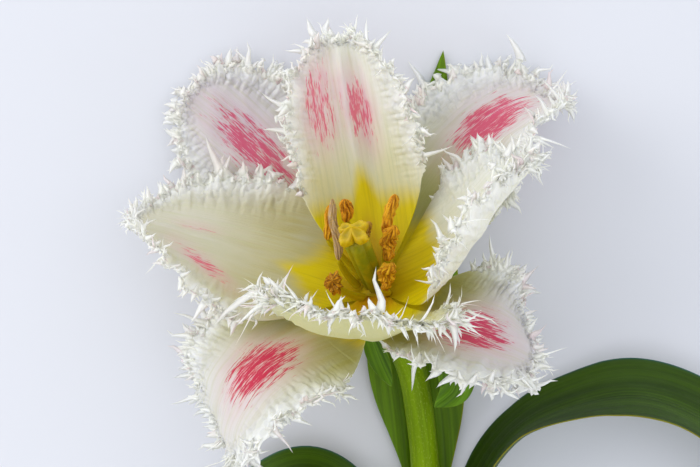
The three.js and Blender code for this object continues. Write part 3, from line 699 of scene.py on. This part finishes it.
def makeLeaf(name, own):
    # lance-shaped sheet on a midrib curve; roll turns it about the midrib, cup bends its cross curve
    spec = {**leafShared, **own}
    rows, half = spec["rows"], spec["columns"]
    mids, tangents, length = curvePath(fromTable(spec["path"]), 400)
    wrap = math.radians(spec["claspTurn"]) * spec["claspRadius"]
    baseWidth = min(wrap, spec["halfWidth"] * spec["baseShare"])

    def halfWidthAt(u):
        # sine squared up to the widest place, then a power of a cosine down to the tip
        before = np.sin(np.pi / 2 * np.clip(u / spec["widest"], 0, 1)) ** 2
        after = np.cos(np.pi / 2 * np.clip((u - spec["widest"]) / (1 - spec["widest"]), 0, 1))
        rising = baseWidth + (spec["halfWidth"] - baseWidth) * before
        falling = spec["halfWidth"] * np.clip(after, 0, 1) ** (1 / spec["taper"])
        return np.where(u < spec["widest"], rising, falling)
    line, _, _ = evenOutline(length, halfWidthAt, rows)
    columns = 1 - (1 - np.linspace(0, 1, half + 1)) ** 1.25
    quads, edge = bladeGrid(rows, columns)
    share = np.concatenate([-columns[:0:-1], columns])[None]
    foot = line[:, :1] * petalShared["footShare"]
    x = foot + (line[:, :1] - foot) * np.abs(share)
    y = line[:, 1:] * share
    at = np.clip(x / length, 0, 1)
    track = np.linspace(0, 1, len(mids))
    left = unit(np.cross([0, 0, 1.0], tangents))
    face = np.cross(tangents, left)
    roll = np.radians(station(spec["roll"], track))[:, None]
    lateral = left * np.cos(roll) + face * np.sin(roll)
    normal = face * np.cos(roll) - left * np.sin(roll)
    mid, lateral, normal = (readTrack(at, track, data) for data in (mids, lateral, normal))
    points = onBlade(mid, unit(lateral), unit(normal), np.radians(station(spec["cup"], at)),
                     np.maximum(halfWidthAt(at), 0.4 * spec["halfWidth"]), y)
    outside = gridNormal(points)
    away = np.abs(share) * np.ones_like(x)
    lift = spec["waver"] * away ** 3 * waves(x + 7 * np.sign(share), [46.0, 27.0], spec["seed"])
    lift *= smooth(0.2, 0.4, at)
    lift -= spec["midGroove"] * np.exp(-(y / 1.3) ** 2) * smooth(0.02, 0.2, at)
    lift += 0.12 * np.sin(y * 2 * np.pi / 2.6) * (1 - away ** 4) * smooth(0, 0.1, at)
    points = points + outside * lift[..., None]
    body, bodyQuads, keep = closeBlade(points, quads, edge, spec, away, 4)
    rim = spec["rimDepth"] * smooth(0.955, 1.0, away)
    fields = {"left": rim * (share > 0), "right": rim * (share < 0), "low": smooth(0.12, 0.0, at)}
    values = {key: np.tile(grid.reshape(-1)[:keep], 2) for key, grid in fields.items()}
    uv = np.tile(np.stack([x, y], -1).reshape(-1, 2)[:keep] / 100, (2, 1))
    makePiece(name + "_sheet", body, bodyQuads, [], name, leafMaterial("leaf blade " + name, spec),
              uv, values)


for name, own in leaves.items():
    makeLeaf(name, own)
print("leaves made")


def stemMaterial(name, dark, light):
    # stem skin: smooth and firm, lengthwise fibres, tiny pale breathing pores 0.4 mm across
    material, tree, shader = newMaterial(name, {
        "Roughness": 0.42, "IOR": 1.42, "Specular IOR Level": 0.12, "Subsurface Weight": 0.1,
        "Subsurface Radius": (0.5, 1.0, 0.12), "Subsurface Scale": 1.5 * mm})
    read = readBlade(tree, ("pith",), 31.0, {
        "fibres": (30, 0.9, 3.0, 0), "pores": (0.9, 0.5, 1.0, 6), "bands": (50, 6.0, 2.0, 10)})
    stripes = weighted(tree, [(read["fibres"], 0.5), (read["bands"], 0.6)])
    colour = layCoats(tree, srgb(dark), [
        (stripes, (0.4, 0.72, 1.0), light), (read["pores"], (0.56, 0.7, 0.4), "#a9bd4a"),
        (read["pith"], None, "#c9cf8e")])
    height = weighted(tree, [(read["fibres"], 1.0), (read["pores"], 0.6)])
    finishSkin(tree, shader, colour, height, 0.35, 0.3)
    return material


def roundUv(along, around):
    # blade map of a round body: mm along and mm round, over 100
    return np.stack([perPoint(along), perPoint(around)], -1) / 100


def turnAngles(sides):
    # one row of even angles, a full turn
    return (np.arange(sides) / sides * 2 * np.pi)[None]


def overAndBack(angle, mmHalf, like):
    # mm round a body, falling over one half turn and rising over the other, so the pattern has no seam
    return np.abs(np.mod(angle / np.pi, 2) - 1) * mmHalf * np.ones_like(like)


def makeStem():
    # a tube down the bent neck and along the table, with faint ribs and a dished cut end
    s = stemShape
    top = toRow([0, 0, -receptacle["drop"] - receptacle["halfHeight"] - s["gap"]])
    toEnd = s["endY"] - s["sheathEnd"]
    path = [[10.6, -24, 9.4], [13.6, -40, 6.4], [15.3, -60, lie], [15.3, -80, lie], [15, -110, lie],
            [14, s["sheathEnd"], lie], [11.4, s["sheathEnd"] + toEnd / 3, s["radius"] + 0.5],
            [6, s["sheathEnd"] + toEnd * 0.7, s["radius"]], [0, s["endY"], s["radius"]]]
    line, _, length = curvePath(np.vstack([top, top - axis * s["neckStart"], fromTable(path)]), s["rows"])
    t = np.linspace(0, 1, s["rows"] + 1)[:, None]
    angle = turnAngles(s["sides"])
    radius = s["topRadius"] + (s["radius"] - s["topRadius"]) * np.minimum(1, t * 3)
    ribs = 0.05 * np.cos(9 * angle + 1.2 * t * 6) + 0.04 * np.cos(4 * angle - 3 * t * 6)
    sway = 0.06 * np.sin(2 * np.pi * t * length / 63) + 0.03 * np.sin(2 * np.pi * t * length / 17)
    rings = tube(line, radius - 0.1 + ribs + sway, s["sides"])
    # the cut: a rounded lip, then the pith dished in
    end, outward = line[-1], unit(line[-1] - line[-2])
    shares = [0.985, 0.94, 0.8, 0.55, 0.25, 0.05]
    depths = [-0.12, -0.05, 0.1, s["cutDish"] * 0.7, s["cutDish"], s["cutDish"]]
    lip = np.stack([end + (rings[-1] - end) * k - outward * d for k, d in zip(shares, depths)])
    along = np.vstack([t * length * np.ones_like(angle), np.full((len(shares), s["sides"]), length)])
    pith = np.zeros_like(along)
    pith[-5:] = 1
    points, quads, tris = skin(np.concatenate([rings, lip]))
    material = stemMaterial("stem skin", s["dark"], s["light"])
    makePiece("stem_skin", points, quads, tris, "stem", material,
              roundUv(along, overAndBack(angle, np.pi * s["radius"], along)), {"pith": perPoint(pith)})


def roundBody(name, node, material, rings, along, around, values=None):
    # a closed skin over rings in the flower frame
    points, quads, tris = skin(toRow(rings))
    makePiece(name, points, quads, tris, node, material, roundUv(along, around),
              {key: perPoint(grid) for key, grid in (values or {}).items()})


def upright(height, radius, sides):
    # rings about the flower axis: height and radius are arrays (rows, sides)
    angle = turnAngles(sides)
    return np.stack([radius * np.cos(angle), radius * np.sin(angle), height * np.ones(sides)], -1)


def makeReceptacle():
    # the stem top swells by an S curve to its widest, then domes over between the petals as an
    # ellipse, with six faint ribs
    r, sides, rows = receptacle, 64, 50
    h = np.linspace(r["foot"], r["top"], rows)[:, None] * np.ones((1, sides))
    angle = turnAngles(sides)
    below = stemShape["topRadius"] + r["swell"] * smooth(r["foot"], r["foot"] + 4.5, h)
    above = r["radius"] * np.sqrt(np.clip(1 - ((h + r["drop"]) / r["halfHeight"]) ** 2, 0.004, 1))
    radius = np.where(h < -r["drop"], below, above) + 0.1 * np.cos(6 * angle) * smooth(-6, -3, h)
    material = stemMaterial("receptacle skin", r["dark"], r["light"])
    roundBody("receptacle_top", "receptacle", material,
              upright(h, radius, sides), h + 10, overAndBack(angle, 15.0, h), {"pith": np.zeros_like(h)})


makeStem()
makeReceptacle()
print("stem made")

pistil = {"foot": 1.0, "top": 23.1, "radius": 3.35, "footRadius": 2.6, "ridge": 0.1, "seam": 0.28,
          "sides": 96, "stigmaFoot": 22.6, "stigmaHeight": 5.4, "reach": 4.8, "notch": 1.9, "furrow": 1.3}


def pistilMaterial(name, dark, light, grainMm):
    # moist plant tissue: soft shine, fine grain, and a dark olive painted shade where the shade attribute
    # rises
    material, tree, shader = newMaterial(name, {
        "Roughness": 0.38, "IOR": 1.42, "Specular IOR Level": 0.5, "Subsurface Weight": 0.4,
        "Subsurface Radius": (1.0, 0.8, 0.2), "Subsurface Scale": 1.2 * mm})
    grain, patches = grainNoise(tree, grainMm, 3.0), grainNoise(tree, 4.1667, 2.0)
    shade = add(tree, "ShaderNodeAttribute", attribute_name="shade").outputs["Fac"]
    colour = layCoats(tree, srgb(dark), [(patches, (0.35, 0.65, 1.0), light), (shade, None, "#6d6a08")])
    finishSkin(tree, shader, colour, grain, 0.5, 0.25)
    return material


def makePistil():
    # ovary: a ribbed post, four broad ribs with a seam down each. stigma: four thick folded lobes
    p = pistil
    rows, sides = 70, p["sides"]
    t = np.linspace(0, 1, rows)[:, None] * np.ones((1, sides))
    angle = turnAngles(sides)
    rib = np.cos(4 * angle)
    radius = p["footRadius"] + (p["radius"] - p["footRadius"]) * np.sin(np.pi / 2 * t)
    seams = np.exp(-((np.mod(2 * angle / np.pi, 1) - 0.5) / 0.09) ** 2)
    radius = radius * (1 + p["ridge"] * rib) - p["seam"] * seams
    radius = radius * (1 - 0.22 * smooth(0.86, 1.0, t))
    h = p["foot"] + (p["top"] - p["foot"]) * t
    # painted shade: darker at the foot and in the grooves between the ribs
    roundBody("ovary_post", "ovary", pistilMaterial("ovary skin", "#8f9414", "#b3a515", 0.5),
              upright(h, radius, sides), h, angle * p["radius"] * np.ones_like(h),
              {"shade": 0.55 * smooth(0.35, 0.0, t) + 0.25 * smooth(0.1, -0.9, rib) * np.ones_like(t)})
    rows = 46
    t = np.linspace(0, 1, rows)[:, None] * np.ones((1, sides))
    lobe = np.abs(np.sin(2 * angle + 0.25 * np.sin(2 * angle))) ** 0.75
    swell = np.sqrt(np.clip(1 - np.abs(2 * t - 1) ** 2.4, 0.01, 1))
    ruffle = 1 + 0.04 * np.sin(11 * angle + 4 * t) + 0.02 * np.sin(19 * angle - 7 * t)
    radius = swell * (p["notch"] + (p["reach"] - p["notch"]) * lobe) * ruffle
    h = p["stigmaFoot"] + p["stigmaHeight"] * t
    groove = smooth(0.5, 0.95, t) * np.exp(-((radius - 2.2) / 1.5) ** 2) * lobe ** 2
    h = h - p["furrow"] * groove - 0.05 * radius ** 1.6 * t + 0.25 * np.cos(2 * angle) * t
    flesh = pistilMaterial("stigma flesh", "#d2ae06", "#e4c20c", 0.35)
    # painted shade: darker at the foot and in the furrows of the lobes
    roundBody("stigma_lobes", "stigma", flesh,
              upright(h, radius, sides), h, angle * 4 * np.ones_like(h),
              {"shade": 0.45 * smooth(0.45, 0.0, t) + 0.5 * groove})


makePistil()
print("pistil made")

# ends is the dark brown painted shade in each anther's slots and split
stamenShared = {"filamentSeat": 1.0, "ring": 5.0, "footRadius": 1.25, "neckRadius": 0.75, "radius": 1.7,
                "twist": 1.2, "curl": 0.5, "crumple": 0.12, "flat": 1.0,
                "dark": "#c4760e", "light": "#ffc02c", "ends": "#8e4e0c", "pollen": "#fbce42"}
stamens = [
    {"azimuth": 15, "joint": [5.6, 0.3, 11], "tip": [10.3, 4.8, 20], "radius": 2.1, "curl": 1.1,
     "crumple": 0.4, "twist": 3.5, "dark": "#bc7010", "light": "#ffbc20"},
    {"azimuth": 50, "joint": [6.2, 6, 15], "tip": [12, 10.6, 26], "radius": 1.9, "twist": 2.2,
     "crumple": 0.2},
    {"azimuth": 82, "joint": [0.8, 6.2, 14], "tip": [3, 7.4, 20], "radius": 1.4, "dark": "#b98c3a",
     "light": "#d9b860"},
    {"azimuth": 112, "joint": [-3.2, 9.6, 19], "tip": [-2.2, 11.6, 26], "radius": 1.9, "twist": 0.6,
     "dark": "#a05a0a", "light": "#fba81a"},
    {"azimuth": 140, "joint": [-10.2, 8, 14], "tip": [-6.9, 12.6, 23.5], "radius": 1.5, "twist": 0.8},
    {"azimuth": 172, "joint": [-6.8, 0, 14.5], "tip": [-5, 10, 29], "radius": 1.5, "twist": 3.0,
     "curl": 0.9, "flat": 0.7, "dark": "#b08a5c", "light": "#d9bf9a", "ends": "#7d4a14"},
    {"azimuth": 228, "joint": [-9, -5.5, 11], "tip": [-8, -8.6, 17], "radius": 2.4, "curl": 0.8,
     "crumple": 0.45, "twist": 2.5, "dark": "#7a4608", "light": "#dd9612"},
    {"azimuth": 318, "joint": [3.6, -5.6, 6], "tip": [8.4, -3.4, 14], "radius": 2.1, "curl": 1.2,
     "crumple": 0.45, "twist": 3.5, "dark": "#c07c10", "light": "#ffc424"},
]


def antherMaterial(name, spec):
    # split, drying pollen sac: dull and dusty, with painted shade in its slots and along its split; real
    # pollen is 0.05 mm, drawn at 0.36 mm so that it shows
    material, tree, shader = newMaterial(name, {
        "Roughness": 0.62, "IOR": 1.4, "Specular IOR Level": 0.3, "Subsurface Weight": 0.2,
        "Subsurface Radius": (1.0, 0.6, 0.15), "Subsurface Scale": 0.8 * mm})
    read = readBlade(tree, ("shade",), spec["azimuth"], {"folds": (5.0, 0.5, 3.0, 0)})
    pollen = grainNoise(tree, 0.3571, 2.0)
    # the ends colour is painted shade, laid where the shade attribute rises
    colour = layCoats(tree, srgb(spec["dark"]), [
        (read["folds"], (0.38, 0.6, 1.0), spec["light"]), (pollen, (0.52, 0.68, 0.6), spec["pollen"]),
        (read["shade"], None, spec["ends"])])
    finishSkin(tree, shader, colour, weighted(tree, [(pollen, 1.0), (read["folds"], 1.5)]), 0.7, 0.4)
    return material


filamentMaterial = stemMaterial("filament tissue", "#b39d08", "#cdb411")


def makeStamen(number, own):
    # a filament from the flower's base to the joint, and an anther from the joint to its tip
    spec = {**stamenShared, **own}
    a = math.radians(spec["azimuth"])
    foot = np.array([spec["ring"] * math.cos(a), spec["ring"] * math.sin(a), spec["filamentSeat"]])
    joint, tip = np.array(spec["joint"], float), np.array(spec["tip"], float)
    # filament: a tapering stalk that bows a little outward
    rows, sides = 36, 24
    t = np.linspace(0, 1, rows)[:, None]
    bow = np.array([math.cos(a), math.sin(a), 0.0]) * np.sin(np.pi * t) * 0.6
    line = foot + (joint - foot) * t + bow
    angle = turnAngles(sides)
    radius = spec["footRadius"] + (spec["neckRadius"] - spec["footRadius"]) * t
    radius = radius * (1 + 0.07 * np.cos(3 * angle + 2 * t)) * (1 - 0.35 * smooth(0.9, 1.0, t))
    length = np.linalg.norm(joint - foot)
    rings = tube(line, radius, sides, (math.sin(a), -math.cos(a), 0.0))
    roundBody(f"filament_stalk_{number}", f"filament_{number}", filamentMaterial, rings,
              t * length * np.ones_like(radius), overAndBack(angle, 3.5, radius),
              {"pith": np.zeros_like(radius)})
    # anther: two sacs, each split along its length, on a curling line; the skin crumples as it dries
    rows, sides = 90, 48
    t = np.linspace(0, 1, rows)[:, None]
    length = np.linalg.norm(tip - joint)
    ahead = unit(tip - joint)
    sideways = unit(np.cross(ahead, [0.3, 0.2, 1.0]))
    upward = np.cross(sideways, ahead)
    curl = spec["curl"] * np.sin(np.pi * t) * 0.6
    line = joint + (tip - joint) * t + sideways * curl * np.sin(2 * np.pi * t * 1.1 + number)
    line = line + upward * curl * np.cos(2 * np.pi * t + number)
    angle = turnAngles(sides)
    turned = angle + spec["twist"] * t
    sacs = 0.7 + 0.3 * np.abs(np.cos(turned)) ** 0.7
    split = np.exp(-(np.cos(turned) / 0.22) ** 2)
    slots = np.exp(-((np.abs(np.sin(turned)) - 0.62) / 0.12) ** 2)
    swell = np.clip(1 - np.abs(2 * t - 1) ** 2.8, 0.02, 1) ** 0.5
    dents = np.sin(5 * turned + 17 * t + number) * 0.5 + np.sin(3 * turned - 31 * t) * 0.3
    dents += np.sin(8 * turned + 9 * t) * 0.25
    radius = spec["radius"] * swell * (sacs - 0.32 * split - 0.2 * slots) * (1 + spec["crumple"] * dents)
    ring = tube(line, radius, sides, sideways)
    centre = line[:, None]
    flatten = (ring - centre) @ upward
    ring = ring - upward * (flatten * (1 - spec["flat"]))[..., None]
    # painted shade: darker in the slots and along the split
    deep = np.clip(0.6 * slots + 0.5 * split, 0, 0.75) * np.ones_like(radius)
    roundBody(f"anther_sacs_{number}", f"anther_{number}",
              antherMaterial(f"anther {number}", spec), ring, t * length * np.ones_like(radius),
              overAndBack(angle, 5.0, radius), {"shade": deep})


for number, own in enumerate(stamens, 1):
    makeStamen(number, own)
print("stamens made")

# Matt painted table: dull, even and pale.
floorMaterial, tree, shader = newMaterial("matt painted table", {"Roughness": 0.9})
mottle = add(tree, "ShaderNodeTexNoise", {"Scale": 6.0}).outputs[0]
tree.links.new(layCoats(tree, srgb("#dee0e8"), [(mottle, None, "#e1e3eb")]), shader.inputs["Base Color"])
bpy.ops.mesh.primitive_plane_add(size=6, location=(0, 0, -0.0002))
floor = bpy.context.object
floor.name = "table"
floor.data.materials.append(floorMaterial)

lights = {
    "window": {"place": (-1.0, 0.4, 0.6), "size": 0.9, "power": 6.0, "colour": (1.0, 0.99, 0.965)},
    "fill": {"place": (0.6, -0.5, 0.9), "size": 1.4, "power": 3.2, "colour": (0.93, 0.96, 1.0)},
}
for name, light in lights.items():
    lamp = bpy.data.lights.new(name, "AREA")
    lamp.size, lamp.energy, lamp.color = light["size"], light["power"], light["colour"]
    holder = bpy.data.objects.new(name, lamp)
    holder.location = Vector(light["place"]) + Vector(heart * mm)
    holder.rotation_euler = (Vector(heart * mm) - holder.location).to_track_quat("-Z", "Y").to_euler()
    bpy.context.scene.collection.objects.link(holder)
world = bpy.data.worlds.new("room")
world.use_nodes = True
world.node_tree.nodes["Background"].inputs[0].default_value = (0.95, 0.97, 1.0, 1)
world.node_tree.nodes["Background"].inputs[1].default_value = 0.88
bpy.context.scene.world = world
bpy.context.scene.view_settings.view_transform = "Standard"

camera = {"lens": 100.0, "over": 545.0, "across": -7.0, "up": 15.0}
lens = bpy.data.cameras.new("camera")
lens.lens, lens.sensor_width = camera["lens"], 36.0
eye = bpy.data.objects.new("camera", lens)
eye.location = Vector((heart + [camera["across"], camera["up"], camera["over"]]) * mm)
eye.rotation_euler = (0, 0, 0)
bpy.context.scene.collection.objects.link(eye)
bpy.context.scene.camera = eye
print("camera and lights set")
